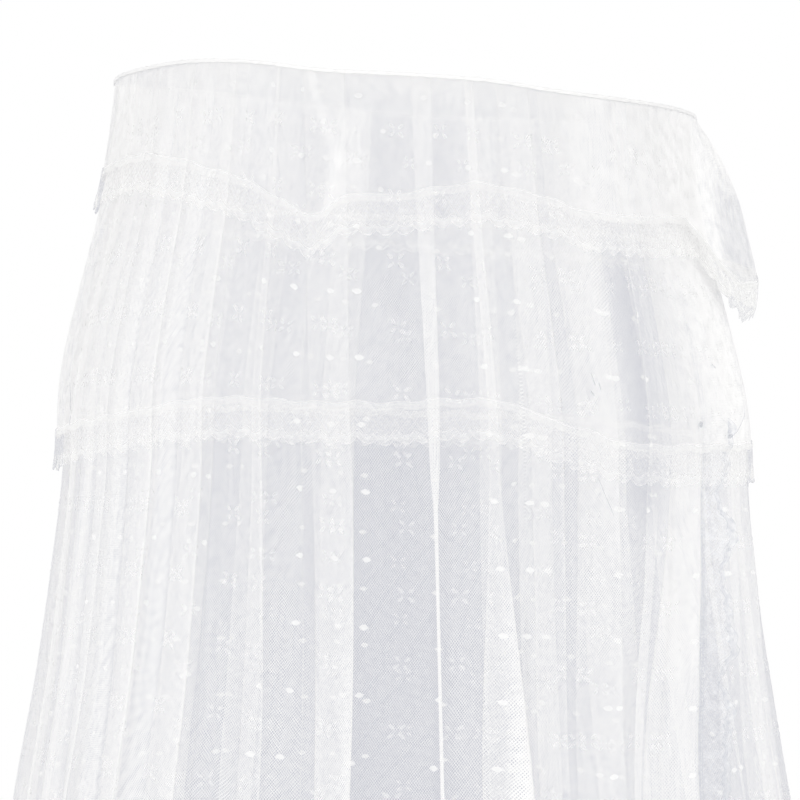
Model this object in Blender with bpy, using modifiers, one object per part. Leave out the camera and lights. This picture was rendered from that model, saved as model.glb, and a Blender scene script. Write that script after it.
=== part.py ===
"""Mosquito net canopy, hanging from its round rim.

Metres, +Z up, front towards -Y. The origin is the middle of the rim.
A net skirt hangs in overlapping pleats and opens in front, a little to the right.
Two short tiers hang over it, each with a lace trim below its hem, and a net roof
closes the rim. A point of the cloth is named by its angle round the rim (0 is the
front, 90 is +X) and by its drop below the rim.
"""

import math
from collections import namedtuple

import bmesh
import bpy

# ---- driving dimensions ----
CLOTH = 0.0012          # thickness of every sheet
SEAM_GAP = 0.0007       # between the rim's cloth and the roof laid on it
SEWN_GAP = 0.0008       # between a hem and the lace sewn below it
EDGE_GAP = 0.0013       # between the skirt's free edge and the lace sewn along it
RIM_TILT = 0.020        # the rim hangs this much high at -X and low at +X
ROOF_RADIUS = 0.2905
ROOF_SEAM_RADIUS = 0.262
ROOF_SAG = 0.012
SKIRT_LENGTH = 2.300
LACE_DEPTH = 0.040
SCALLOP_DEPTH = 0.005
OPENING_LACE_TOP = 0.300
TIER_COLUMNS = 80       # points round a tier, and scallops round its lace
OPENING_SCALLOPS = 78
TIER_CLEARANCE = 0.0045  # upper tier outside the lower one
MERGE = 0.00005

# Radius of the lower tier and of the skirt's middle, down from the rim.
Section = namedtuple("Section", "drop radius")
TIER_PROFILE = (
    Section(0.000, 0.2845), Section(0.065, 0.2925), Section(0.130, 0.3045),
    Section(0.205, 0.3235), Section(0.265, 0.3380), Section(0.310, 0.3445),
    Section(0.400, 0.3470),
)
SKIRT_PROFILE = (
    Section(0.000, 0.2710), Section(0.130, 0.2900), Section(0.205, 0.3090),
    Section(0.310, 0.3315), Section(0.385, 0.3350), Section(0.465, 0.3420),
    Section(0.585, 0.3545), Section(0.705, 0.3745), Section(1.300, 0.4610),
    Section(2.300, 0.6090),
)

# How far the rim's edge is lifted, in millimetres, at an angle in degrees.
Lift = namedtuple("Lift", "angle lift")
RIM_LIFTS = (
    Lift(-90, -10), Lift(-75, -7), Lift(-60, -3), Lift(-45, 2), Lift(-30, 2),
    Lift(-15, -3.5), Lift(0, -3), Lift(15, -2.5), Lift(30, -6), Lift(45, -6),
    Lift(60, -5), Lift(75, -5), Lift(90, -5), Lift(120, -2), Lift(150, 1),
    Lift(180, 0), Lift(210, 2), Lift(240, -2),
)

# Drop of each trim's lower edge, in millimetres, at an angle in degrees.
Hem = namedtuple("Hem", "angle drop")
LOWER_HEM = (
    Hem(-90, 385), Hem(-50, 372), Hem(-35, 358), Hem(-26, 351), Hem(0, 343),
    Hem(13, 337), Hem(26, 354), Hem(37, 366), Hem(57, 365), Hem(90, 360),
    Hem(120, 357), Hem(150, 352), Hem(180, 356), Hem(210, 362), Hem(240, 370),
)
UPPER_HEM = (
    Hem(-90, 128), Hem(-70, 126), Hem(-52, 126), Hem(-29, 151), Hem(-22, 164),
    Hem(-15, 173), Hem(-10, 154), Hem(0, 152), Hem(5, 144), Hem(13, 136),
    Hem(24, 141), Hem(31, 150), Hem(45, 150), Hem(62, 146), Hem(77, 163),
    Hem(90, 204), Hem(103, 188), Hem(120, 160), Hem(150, 150), Hem(180, 146),
    Hem(210, 150), Hem(240, 143),
)

# A soft upright fold of a tier: its angle at the rim and at the hem, its half width
# in degrees, and how far it stands out at the hem in millimetres.
Ridge = namedtuple("Ridge", "rim hem half_width height")
LOWER_RIDGES = (
    Ridge(-64, -66, 7, 4), Ridge(-30, -31, 7, 3), Ridge(28, 33, 7, 5), Ridge(51, 50, 7, 6),
    Ridge(112, 114, 8, 5), Ridge(160, 158, 9, 6), Ridge(205, 208, 8, 5), Ridge(246, 244, 7, 4),
)
UPPER_RIDGES = (
    Ridge(-21, -15, 6, 10), Ridge(-58, -60, 7, 4), Ridge(22, 26, 7, 4), Ridge(56, 54, 6, 5),
    Ridge(135, 138, 8, 6), Ridge(182, 180, 8, 5), Ridge(226, 229, 8, 6),
)

# The upper tier bellies out at its right end and hangs lower there.
BELLY_ANGLE = 93
BELLY_HALF_WIDTH = 18
Belly = namedtuple("Belly", "drop depth")
BELLY = (
    Belly(0.000, 0.000), Belly(0.030, 0.019), Belly(0.060, 0.0305), Belly(0.085, 0.0365),
    Belly(0.120, 0.0385), Belly(0.147, 0.0385), Belly(0.165, 0.0340), Belly(0.185, 0.0220),
    Belly(0.205, 0.0060), Belly(0.220, 0.0030),
)

# The skirt's pleats, from the right panel's free edge, round the back, to the left
# panel's free edge: the angle of each in degrees at four drops, the width in
# millimetres over which it lies three layers thick at the upper three, how deep it is,
# how wide its folds roll, and which way it leans.
STATIONS = (0.0, 0.36, 0.70, SKIRT_LENGTH)
Pleat = namedtuple("Pleat", "rim waist knee foot lap_rim lap_waist lap_knee depth roll lean")
PLEATS = (
    # right panel
    Pleat(64.0, 66.7, 58.2, 56.0, 26, 24, 10, 1.0, 1.0, 1),
    Pleat(75.5, 77.5, 70.0, 69.0, 38, 42, 34, 1.1, 1.0, 1),
    Pleat(87.0, 88.5, 82.5, 81.5, 36, 42, 34, 1.0, 1.0, -1),
    # back
    Pleat(99.0, 100.0, 96.0, 94.0, 38, 44, 46, 1.2, 1.0, 1),
    Pleat(112.0, 113.5, 111.0, 110.0, 38, 48, 50, 1.1, 1.0, 1),
    Pleat(126.0, 126.5, 126.5, 127.0, 30, 46, 54, 1.3, 1.0, 1),
    Pleat(140.0, 141.0, 141.5, 142.0, 40, 50, 50, 1.1, 1.0, -1),
    Pleat(152.5, 155.0, 156.0, 156.5, 34, 44, 48, 1.2, 1.0, 1),
    Pleat(163.0, 163.8, 164.0, 164.6, 26, 26, 30, 1.0, 1.0, 1),
    Pleat(191.0, 192.6, 191.9, 192.5, 34, 38, 40, 1.4, 1.0, -1),
    Pleat(207.0, 208.8, 208.6, 209.0, 26, 22, 28, 0.9, 1.0, 1),
    Pleat(219.5, 221.0, 222.0, 222.0, 26, 28, 30, 1.2, 1.0, 1),
    Pleat(232.5, 234.0, 235.0, 235.0, 34, 48, 54, 1.0, 1.0, -1),
    Pleat(246.0, 247.5, 248.5, 248.5, 36, 48, 48, 1.1, 1.0, 1),
    Pleat(260.0, 261.0, 262.0, 262.5, 36, 42, 42, 0.9, 1.0, 1),
    # left side
    Pleat(273.5, 274.0, 275.0, 275.5, 36, 42, 40, 1.1, 1.0, 1),
    Pleat(286.0, 287.0, 288.0, 288.0, 35, 50, 50, 1.0, 1.0, 1),
    Pleat(298.0, 299.0, 300.0, 300.0, 38, 54, 60, 1.2, 1.0, 1),
    Pleat(310.0, 311.0, 311.5, 312.0, 36, 52, 54, 1.1, 1.0, 1),
    Pleat(321.5, 322.8, 322.6, 323.0, 34, 40, 48, 1.1, 1.0, 1),
    # front of the left panel
    Pleat(334.0, 335.6, 337.2, 338.4, 6, 14, 30, 0.9, 0.8, 1),
    Pleat(343.5, 348.2, 349.6, 351.0, 44, 40, 36, 1.3, 1.0, 1),
    Pleat(363.0, 364.6, 365.2, 366.0, 18, 5, 1, 0.8, 0.6, 1),
    Pleat(372.5, 374.2, 374.6, 374.8, 2, 2, 42, 1.2, 1.0, 1),
    Pleat(381.5, 383.2, 381.6, 381.6, 26, 25, 18, 1.0, 1.0, 1),
    Pleat(391.5, 392.6, 389.0, 388.6, 34, 36, 34, 1.3, 1.0, 1),
    Pleat(407.0, 404.5, 395.0, 394.6, 14, 30, 24, 1.1, 1.0, -1),
    Pleat(416.0, 413.0, 401.2, 400.0, 28, 30, 42, 1.6, 1.0, 1),
)
ROLL_LIMITS = (0.0100, 0.0105, 0.0110, 0.0180)   # widest roll of a fold at the stations
FOLD_DEPTHS = (0.0065, 0.0073, 0.0115, 0.0180)   # depth of a fold at the stations
ROOM_PER_ROLL = 4.8     # rolls that fit between two neighbouring pleats
OPEN_FOLD = 1.0         # sideways swing, in rolls, of a pleat that has fallen open
EDGE_REACH = (0.0, 0.004, 0.020, 0.0)   # cloth past the last pleat, to the left free edge
LACE_FLARE = 0.16       # how far the opening's lace turns outward, as a share of its depth
CREASE_POINTS = (-2.4, -1.5, -0.85, 0.0, 0.85, 1.5, 2.4)   # points across a pleat, in rolls
SKIRT_DROPS = (0.0, 0.19, 0.36, 0.47, 0.585, 0.70, 1.15, 1.70, SKIRT_LENGTH)
ROOF_RADII = (0.0, 0.130, ROOF_SEAM_RADIUS, ROOF_RADIUS)

NET_WHITE = (0.90, 0.91, 0.93, 1.0)
LACE_WHITE = (0.95, 0.95, 0.94, 1.0)
NET_ROUGHNESS = 0.85


# ---- reading the tables ----
def smooth_between(stations, values, position):
    """Value of a smooth curve through the points (stations, values) at a position."""
    last = len(stations) - 1
    position = min(max(position, stations[0]), stations[last])
    index = max(i for i in range(last) if stations[i] <= position)

    def slope(i):
        low, high = max(i - 1, 0), min(i + 1, last)
        return (values[high] - values[low]) / (stations[high] - stations[low])

    span = stations[index + 1] - stations[index]
    t = (position - stations[index]) / span
    start, end = values[index], values[index + 1]
    bend_in, bend_out = slope(index) * span, slope(index + 1) * span
    return (
        start * (1 + 2 * t) * (1 - t) ** 2 + bend_in * t * (1 - t) ** 2
        + end * t * t * (3 - 2 * t) + bend_out * t * t * (t - 1)
    )


def round_the_rim(table, angle):
    """Smooth value at an angle of a table of (angle, value) rows that closes on itself."""
    turn = (angle - table[0][0]) % 360 + table[0][0]
    rows = [(a - 360, v) for a, v in table[-2:]] + list(table)
    rows += [(a + 360, v) for a, v in table[:3]]
    return smooth_between([a for a, _ in rows], [v for _, v in rows], turn)


def down_the_cloth(table, drop):
    """Smooth value at a drop of a table of (drop, value) rows."""
    return smooth_between([d for d, _ in table], [v for _, v in table], drop)


def at_angle(radius, angle, drop):
    """Point of the cloth at a radius and an angle, hanging a drop below the tilted rim."""
    turn = math.radians(angle)
    rim = 0.001 * round_the_rim(RIM_LIFTS, angle) - RIM_TILT * math.sin(turn)
    return (radius * math.sin(turn), -radius * math.cos(turn), rim - drop)


# ---- tiers ----
def ridge_height(ridges, angle, drop, hem_drop):
    """How far a tier's folds stand out at an angle and a drop."""
    reach = min(drop / hem_drop, 1.2)
    height = 0.0
    for ridge in ridges:
        middle = ridge.rim + (ridge.hem - ridge.rim) * reach
        aside = (angle - middle + 180) % 360 - 180
        height += 0.001 * ridge.height * reach * math.exp(-((aside / ridge.half_width) ** 2))
    return height


def lower_tier_radius(angle, drop):
    hem_drop = 0.001 * round_the_rim(LOWER_HEM, angle)
    return down_the_cloth(TIER_PROFILE, drop) + ridge_height(LOWER_RIDGES, angle, drop, hem_drop)


def upper_tier_radius(angle, drop):
    hem_drop = 0.001 * round_the_rim(UPPER_HEM, angle)
    aside = (angle - BELLY_ANGLE + 180) % 360 - 180
    belly = down_the_cloth(BELLY, drop) * math.exp(-((aside / BELLY_HALF_WIDTH) ** 2))
    own_folds = ridge_height(UPPER_RIDGES, angle, drop, hem_drop)
    return lower_tier_radius(angle, drop) + TIER_CLEARANCE + own_folds + belly


Tier = namedtuple("Tier", "radius hem rows")
LOWER = Tier(lower_tier_radius, LOWER_HEM, 4)
UPPER = Tier(upper_tier_radius, UPPER_HEM, 3)


def cloth_hem_drop(tier, angle):
    """Drop of a tier's own hem, above the lace sewn to it."""
    return 0.001 * round_the_rim(tier.hem, angle) - LACE_DEPTH - SEWN_GAP


def tier_point(tier, angle, drop):
    return at_angle(tier.radius(angle, drop), angle, drop)


# ---- skirt ----
def fold_swing(u):
    """Odd curve that peaks at 1 and -1: the sideways swing and the depth of a pleat."""
    return u * math.exp(0.5 * (1.0 - u * u))


def pleats_at(drop):
    """Middle angle, roll, swing and depth of every pleat at a drop, in degrees and metres."""
    radius = down_the_cloth(SKIRT_PROFILE, drop)
    degree = radius * math.radians(1.0)
    middles = [smooth_between(STATIONS, (p.rim, p.waist, p.knee, p.foot), drop) for p in PLEATS]
    roll_limit = smooth_between(STATIONS, ROLL_LIMITS, drop)
    depth = smooth_between(STATIONS, FOLD_DEPTHS, drop)
    rows = []
    for i, pleat in enumerate(PLEATS):
        rooms = [abs(middles[j] - middles[i]) for j in (i - 1, i + 1) if 0 <= j < len(PLEATS)]
        roll = min(roll_limit, min(rooms) * degree / ROOM_PER_ROLL) * pleat.roll
        laps = (pleat.lap_rim, pleat.lap_waist, pleat.lap_knee)
        swings = [roll + 0.0005 * lap for lap in laps] + [OPEN_FOLD * roll]
        swing = smooth_between(STATIONS, swings, drop)
        share = min(max((drop - STATIONS[1]) / (STATIONS[2] - STATIONS[1]), 0.0), 1.0)
        deep = depth * (1.0 + (pleat.depth - 1.0) * share)
        rows.append((middles[i], roll / degree, swing / degree, deep * pleat.lean))
    return radius, rows


def skirt_point(radius, rows, parameter, drop):
    """Point of the skirt: the plain cone's point, swung aside and in or out by the pleats."""
    angle, out = parameter, 0.0
    for middle, roll, swing, depth in rows:
        curve = fold_swing((parameter - middle) / roll)
        angle -= swing * curve
        out -= depth * curve
    return at_angle(radius + out, angle, drop)


def skirt_ring(drop, points=CREASE_POINTS):
    """The skirt's points at one drop, from one free edge to the other."""
    radius, rows = pleats_at(drop)
    parameters = [row[0] + row[1] * u for row in rows for u in points]
    parameters[-1] += math.degrees(smooth_between(STATIONS, EDGE_REACH, drop) / radius)
    return [skirt_point(radius, rows, parameter, drop) for parameter in parameters]


# ---- making the nodes ----
def finish(name, colour):
    material = bpy.data.materials.new(name + "_cloth")
    material.use_nodes = True
    shader = material.node_tree.nodes["Principled BSDF"]
    shader.inputs["Base Color"].default_value = colour
    shader.inputs["Roughness"].default_value = NET_ROUGHNESS
    shader.inputs["Metallic"].default_value = 0.0
    return material


def sheet(name, columns, rows, place, colour, collection, parent):
    """A node of cloth: a grid laid out by place(column, row), given its thickness."""
    mesh = bpy.data.meshes.new(name)
    grid = bmesh.new()
    bmesh.ops.create_grid(grid, x_segments=columns, y_segments=rows, size=0.5)
    for vertex in grid.verts:
        column = round((vertex.co.x + 0.5) * columns)
        row = round((0.5 - vertex.co.y) * rows)
        vertex.co = place(column, row)
    bmesh.ops.remove_doubles(grid, verts=grid.verts, dist=MERGE)
    grid.to_mesh(mesh)
    grid.free()
    mesh.materials.append(finish(name, colour))
    node = bpy.data.objects.new(name, mesh)
    collection.objects.link(node)
    node.parent = parent
    thickness = node.modifiers.new("thickness", "SOLIDIFY")
    thickness.thickness = CLOTH
    thickness.offset = 0.0
    return node


def add_roof(collection, parent):
    def place(column, row):
        angle = 360.0 * (column % TIER_COLUMNS) / TIER_COLUMNS
        radius = ROOF_RADII[row]
        reach = min(radius / ROOF_SEAM_RADIUS, 1.0)
        x, y, rim = at_angle(radius, angle, 0.0)
        lift = SEAM_GAP + 0.5 * CLOTH
        return (x, y, rim * reach + lift - ROOF_SAG * (1.0 - reach * reach))

    sheet("roof", TIER_COLUMNS, len(ROOF_RADII) - 1, place, NET_WHITE, collection, parent)


def add_tier(name, tier, collection, parent):
    def place(column, row):
        angle = 360.0 * (column % TIER_COLUMNS) / TIER_COLUMNS
        return tier_point(tier, angle, cloth_hem_drop(tier, angle) * row / tier.rows)

    sheet(name, TIER_COLUMNS, tier.rows, place, NET_WHITE, collection, parent)


def add_tier_lace(name, tier, collection, parent):
    """The lace below a tier: its top follows the hem, its lower edge is scalloped."""
    columns = 2 * TIER_COLUMNS

    def hem_point(step):
        angle = 360.0 * (step % TIER_COLUMNS) / TIER_COLUMNS
        return tier_point(tier, angle, cloth_hem_drop(tier, angle))

    def place(column, row):
        column %= columns
        if row == 0:
            before, after = hem_point(column // 2), hem_point((column + 1) // 2)
            x, y, z = (0.5 * (a + b) for a, b in zip(before, after))
            return (x, y, z - SEWN_GAP)
        angle = 360.0 * column / columns
        notch = SCALLOP_DEPTH if column % 2 == 0 else 0.0
        return tier_point(tier, angle, 0.001 * round_the_rim(tier.hem, angle) - notch)

    sheet(name, columns, 1, place, LACE_WHITE, collection, parent)


def add_skirt(collection, parent):
    rings = [skirt_ring(drop) for drop in SKIRT_DROPS]
    columns = len(rings[0]) - 1

    def place(column, row):
        return rings[row][column]

    sheet("skirt", columns, len(rings) - 1, place, NET_WHITE, collection, parent)


def add_opening_lace(collection, parent):
    """The lace on the left panel's free edge, scalloped along its outer edge."""
    edge = [skirt_ring(drop)[-1] for drop in SKIRT_DROPS]
    columns = 2 * OPENING_SCALLOPS
    length = SKIRT_LENGTH - OPENING_LACE_TOP

    def edge_point(drop):
        index = max(i for i in range(len(SKIRT_DROPS) - 1) if SKIRT_DROPS[i] <= drop)
        span = SKIRT_DROPS[index + 1] - SKIRT_DROPS[index]
        t = (drop - SKIRT_DROPS[index]) / span
        return [a + (b - a) * t for a, b in zip(edge[index], edge[index + 1])]

    def place(column, row):
        x, y, z = edge_point(OPENING_LACE_TOP + length * column / columns)
        notch = SCALLOP_DEPTH if column % 2 == 0 else 0.0
        aside = EDGE_GAP if row == 0 else LACE_DEPTH - notch
        radius = math.hypot(x, y)
        turn = math.atan2(x, -y) + aside / radius
        radius += LACE_FLARE * aside
        return (radius * math.sin(turn), -radius * math.cos(turn), z)

    sheet("opening_lace", columns, 1, place, LACE_WHITE, collection, parent)


def main():
    for old in list(bpy.data.objects):
        bpy.data.objects.remove(old)
    collection = bpy.data.collections.new("mosquito_net_canopy")
    bpy.context.scene.collection.children.link(collection)
    rim = bpy.data.objects.new("rim_centre", None)
    collection.objects.link(rim)
    add_roof(collection, rim)
    add_skirt(collection, rim)
    add_tier("lower_tier", LOWER, collection, rim)
    add_tier_lace("lower_lace", LOWER, collection, rim)
    add_tier("upper_tier", UPPER, collection, rim)
    add_tier_lace("upper_lace", UPPER, collection, rim)
    add_opening_lace(collection, rim)


main()
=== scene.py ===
"""Looks of the mosquito net canopy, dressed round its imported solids.

Metres, +Z up, front towards -Y, origin in the middle of the rim. A point of the cloth
is named by its angle round the rim in degrees (0 is the front, 90 is +X) and by its
drop below the rim. Every cloth keeps its flat cut in a UV map, so that the net's mesh,
the woven diamonds and crosses and the lace follow it through each fold.
"""

from __future__ import annotations

import logging
import math
from dataclasses import dataclass, field
from enum import Enum
from functools import partial
from typing import Callable, NamedTuple, Sequence

import bmesh
import bpy
import numpy as np
from bpy.types import Material, Mesh, Node, NodeSocket, NodeTree, Object
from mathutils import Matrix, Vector
from numpy import ndarray

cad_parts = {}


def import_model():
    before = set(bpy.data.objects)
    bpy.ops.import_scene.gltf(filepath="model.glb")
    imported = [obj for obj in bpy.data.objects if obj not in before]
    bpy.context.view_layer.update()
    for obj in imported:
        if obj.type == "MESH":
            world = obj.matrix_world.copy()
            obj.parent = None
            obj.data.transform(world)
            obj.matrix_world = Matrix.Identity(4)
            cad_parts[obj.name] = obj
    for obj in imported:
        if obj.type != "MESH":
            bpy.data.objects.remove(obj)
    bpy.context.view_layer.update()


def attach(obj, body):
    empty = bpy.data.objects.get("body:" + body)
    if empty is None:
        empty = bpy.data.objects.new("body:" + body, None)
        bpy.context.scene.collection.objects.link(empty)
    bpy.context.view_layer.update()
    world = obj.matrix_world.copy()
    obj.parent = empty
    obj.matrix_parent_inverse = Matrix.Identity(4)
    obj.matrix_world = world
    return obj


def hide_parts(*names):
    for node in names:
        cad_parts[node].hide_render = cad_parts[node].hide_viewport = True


LOG = logging.getLogger("mosquito_net_canopy")

BODY = "root"
UV_NAME = "cloth"
GATHER = "gather"        # attribute: how much closer than plain the net's threads lie
UV_SPAN = 5.0            # metres of flat cloth to one unit of the UV map
MM = 0.001
WHITE = (1.0, 1.0, 1.0, 1.0)
MATH, VECTOR_MATH, MIX = "ShaderNodeMath", "ShaderNodeVectorMath", "ShaderNodeMix"
Point = tuple[float, float]


# ---- colours and nodes ----
def linear(code: str) -> tuple[float, float, float, float]:
    """Turns an sRGB hex value to linear colour.

    Args:
        code: the colour as "#RRGGBB".

    Returns:
        Red, green, blue and a full alpha.
    """
    parts = [int(code[i:i + 2], 16) / 255 for i in (1, 3, 5)]
    return (*(p / 12.92 if p <= 0.04045 else ((p + 0.055) / 1.055) ** 2.4 for p in parts), 1.0)


def connect(node: Node, inputs: dict) -> None:
    """Gives a node its values and links.

    Args:
        node: the node.
        inputs: for an input's name or number, a value, an output that feeds it, or a
            node whose first output does.
    """
    for key, value in inputs.items():
        if isinstance(value, Node):
            value = value.outputs[0]
        if isinstance(value, NodeSocket):
            node.id_data.links.new(value, node.inputs[key])
        else:
            node.inputs[key].default_value = value


def add_node(tree: NodeTree, kind: str, inputs: dict | None = None, **settings: object) -> Node:
    """Adds a node with its settings, values and links.

    Args:
        tree: the node tree.
        kind: Blender's name of the node.
        inputs: as connect takes them.
        settings: the node's own options.

    Returns:
        The new node.
    """
    node = tree.nodes.new(kind)
    for key, value in settings.items():
        setattr(node, key, value)
    connect(node, inputs or {})
    return node


def new_material(name: str) -> tuple[Material, Node, Callable[..., Node]]:
    """Starts a material.

    Args:
        name: the material's name.

    Returns:
        The material, its shader, and add_node for its tree.
    """
    made = bpy.data.materials.new(name)
    made.use_nodes = True
    return made, made.node_tree.nodes["Principled BSDF"], partial(add_node, made.node_tree)


# ---- finishes ----
@dataclass(frozen=True)
class NetFinish:
    """Knitted polyester netting: fine white yarn in a slanting mesh, with air between."""

    name: str
    yarn: str
    pitch_mm: float       # distance of one yarn from the next along the width
    yarn_mm: float        # how wide a yarn shows
    slant: float = 0.72   # how steeply the yarns cross the width
    uneven: float = 0.25  # share by which the yarn swells and thins
    uneven_mm: float = 7.0
    roughness: float = 0.75
    sheen: float = 0.10
    dim: float = 0.93     # how much light the yarn's rounded edge keeps

    def material(self) -> Material:
        """Builds the material: yarn where a line of the mesh runs, clear air elsewhere."""
        made, shader, add = new_material(self.name)
        flat = add("ShaderNodeUVMap", uv_map=UV_NAME)
        across, down = add("ShaderNodeSeparateXYZ", {0: flat}).outputs[:2]
        gather = add("ShaderNodeAttribute", attribute_name=GATHER).outputs["Fac"]
        scale = UV_SPAN / (self.uneven_mm * MM)
        blotch = add("ShaderNodeTexNoise", {"Vector": flat, "Scale": scale, "Detail": 2.0})
        limits = {"From Min": 0.3, "From Max": 0.7}
        limits |= {"To Min": 1.0 - self.uneven, "To Max": 1.0 + self.uneven}
        swell = add("ShaderNodeMapRange", {"Value": blotch, **limits}, clamp=False)
        width = add(MATH, {0: gather, 1: swell}, operation="MULTIPLY")
        half = add(MATH, {0: width, 1: 0.5 * self.yarn_mm / self.pitch_mm}, operation="MULTIPLY")
        turns = UV_SPAN / MM / self.pitch_mm
        lines = {}
        for way, slant in enumerate((self.slant, -self.slant)):
            along = add(MATH, {0: down, 1: slant, 2: across}, operation="MULTIPLY_ADD")
            count = add(MATH, {0: along, 1: turns}, operation="MULTIPLY")
            lines[way] = add(MATH, {0: count, 1: 0.5}, operation="PINGPONG")
        near = add(MATH, lines, operation="MINIMUM")
        yarn = add(MATH, {0: near, 1: half}, operation="LESS_THAN")
        # the yarn is round, so its edges turn away from the light
        edge = add(MATH, {0: near, 1: half}, operation="DIVIDE")
        shade = add("ShaderNodeMapRange", {"Value": edge, "From Min": 0.3})
        pale = linear(self.yarn)
        dim = (*(self.dim * c for c in pale[:3]), 1.0)
        colour = add(MIX, {0: shade, 6: pale, 7: dim}, data_type="RGBA")
        connect(shader, {
            "Alpha": yarn, "Base Color": colour.outputs[2], "Roughness": self.roughness,
            "Sheen Weight": self.sheen,
        })
        return made


@dataclass(frozen=True)
class YarnFinish:
    """Soft spun yarn laid close, as in a woven figure, lace or a seam: matt, finely ribbed."""

    name: str
    yarn: str
    shadow: str
    alpha: float = 1.0
    rib_mm: float = 0.9       # distance of the ribs that the yarn makes
    rib_depth_mm: float = 0.03
    roughness: float = 0.8

    def material(self) -> Material:
        """Builds the material: pale yarn, a little darker between the ribs."""
        made, shader, add = new_material(self.name)
        place, scale = add("ShaderNodeTexCoord").outputs["Object"], 1.0 / (self.rib_mm * MM)
        ribs = add("ShaderNodeTexNoise", {"Vector": place, "Scale": scale, "Detail": 1.0})
        tones = {0: ribs, 6: linear(self.shadow), 7: linear(self.yarn)}
        colour = add(MIX, tones, data_type="RGBA")
        depth = self.rib_depth_mm * MM
        bump = add("ShaderNodeBump", {"Strength": 0.6, "Distance": depth, "Height": ribs})
        connect(shader, {
            "Base Color": colour.outputs[2], "Normal": bump, "Roughness": self.roughness,
            "Alpha": self.alpha,
        })
        return made


# knitted net: fine bright yarn that reads as a grey veil, and white where it is bunched
PATTERNED_NET = NetFinish("knitted_polyester_net_figured", "#FDFDFE", 2.5, 0.27)
PLAIN_NET = NetFinish(
    "knitted_polyester_net_plain", "#FDFDFE", 2.3, 0.16, uneven=0.38, uneven_mm=13.0
)
ROOF_NET = NetFinish("knitted_polyester_net_close", "#FDFDFE", 1.6, 0.60)
SEAM_NET = NetFinish("net_rolled_in_seam", "#FDFDFE", 1.2, 0.62)
# lace: a still finer ground with close, milky bands; the opening's lace is dull and patchy, and
# painted greyer and bluer for the shade it hangs in
LACE_GROUND = NetFinish("lace_ground_net", "#FDFDFD", 1.2, 0.062, 1.0, 0.5, 6.0)
# painted shade: the opening lace's ground is greyer and bluer for the shade it hangs in, with
# patchy uneven yarn
SHADED_LACE_NET = NetFinish("lace_ground_net_worn", "#F4F5F9", 1.2, 0.07, 1.0, 0.9, 9.0)
LACE_CLOSE = NetFinish("lace_close_band", "#FDFDFD", 1.3, 0.14, 1.0, 0.6, 6.0)
# painted shade: the opening lace's close bands are grey for the shade they hang in
SHADED_LACE_BAND = NetFinish("lace_close_band_worn", "#CDD1DA", 1.3, 0.16, 1.0, 0.9, 6.0)
# soft yarn and thread: matt white that shows brighter than the net it is worked into
FIGURE_YARN = YarnFinish("woven_figure_yarn", "#FEFEFE", "#F8F9FA", 0.70)
FIGURE_THIN = YarnFinish("woven_figure_thin_yarn", "#FEFEFE", "#F8F9FA", 0.30)
LACE_YARN = YarnFinish("lace_cotton_yarn", "#FEFEFD", "#F6F6F8", 0.17)
LACE_CORD = YarnFinish("lace_cord", "#FDFDFC", "#F3F3F5", 0.40)
# painted shade: the opening lace's cords are grey because they hang in shade
SHADED_LACE_CORD = YarnFinish("lace_cord_worn_grey", "#D8DCE4", "#C6CBD6", 0.18)
SEWING_THREAD = YarnFinish("polyester_sewing_thread", "#FCFCFC", "#EEEFF1", rib_mm=0.6)
# dull grey fluff and rubbed specks
FADED_MARK = YarnFinish("faded_grey_mark", "#B9BEC9", "#A4AAB8", 0.30, rib_mm=1.5)


# ---- smooth tables ----
@dataclass(frozen=True)
class Curve:
    """A smooth curve through (station, value) points."""

    points: tuple[Point, ...]
    closes: bool = False      # round the rim, in degrees

    def __call__(self, position: ndarray | float) -> ndarray:
        """Reads the curve.

        Args:
            position: where, one number or many.

        Returns:
            The values there.
        """
        rows = list(self.points)
        at = np.asarray(position, float)
        if self.closes:
            first = rows[0][0]
            at = (at - first) % 360 + first
            rows = [(a - 360, v) for a, v in rows[-2:]] + rows + [(a + 360, v) for a, v in rows[:3]]
        stations, values = np.array(rows, float).T
        last = len(rows) - 1
        low = np.maximum(np.arange(last + 1) - 1, 0)
        high = np.minimum(np.arange(last + 1) + 1, last)
        slopes = (values[high] - values[low]) / (stations[high] - stations[low])
        at = np.clip(at, stations[0], stations[-1])
        i = np.clip(np.searchsorted(stations, at, side="right") - 1, 0, last - 1)
        span = stations[i + 1] - stations[i]
        t = (at - stations[i]) / span
        return (
            values[i] * (1 + 2 * t) * (1 - t) ** 2 + slopes[i] * span * t * (1 - t) ** 2
            + values[i + 1] * t * t * (3 - 2 * t) + slopes[i + 1] * span * t * t * (t - 1)
        )


@dataclass(frozen=True)
class Ripple:
    """Seeded unevenness round the rim: waves that close on themselves and drift down."""

    seed: int
    low: int              # fewest waves to a turn
    high: int             # most
    count: int = 14
    drift: float = 6.0    # how far a wave's phase wanders over a metre of drop

    def __call__(self, angle: ndarray, drop: ndarray | float) -> ndarray:
        """Reads the ripple, which stays near -1 to 1.

        Args:
            angle: degrees round the rim.
            drop: metres below it.

        Returns:
            The values there.
        """
        rng = np.random.default_rng(self.seed)
        turn = np.radians(np.asarray(angle, float))
        total = np.zeros(np.broadcast(turn, np.asarray(drop)).shape)
        for _ in range(self.count):
            waves = rng.integers(self.low, self.high + 1)
            phase, drift = rng.uniform(0, 2 * math.pi), rng.normal(0, self.drift)
            total = total + np.sin(waves * turn + phase + drift * np.asarray(drop))
        return total / math.sqrt(self.count)


def joined(*parts: ndarray) -> ndarray:
    """Makes points of their coordinates, which come last."""
    return np.stack(np.broadcast_arrays(*parts), -1)


def aside(angle: ndarray, middle: ndarray | float) -> ndarray:
    """How many degrees an angle is past another, the shorter way round."""
    return (angle - middle + 180) % 360 - 180


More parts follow.
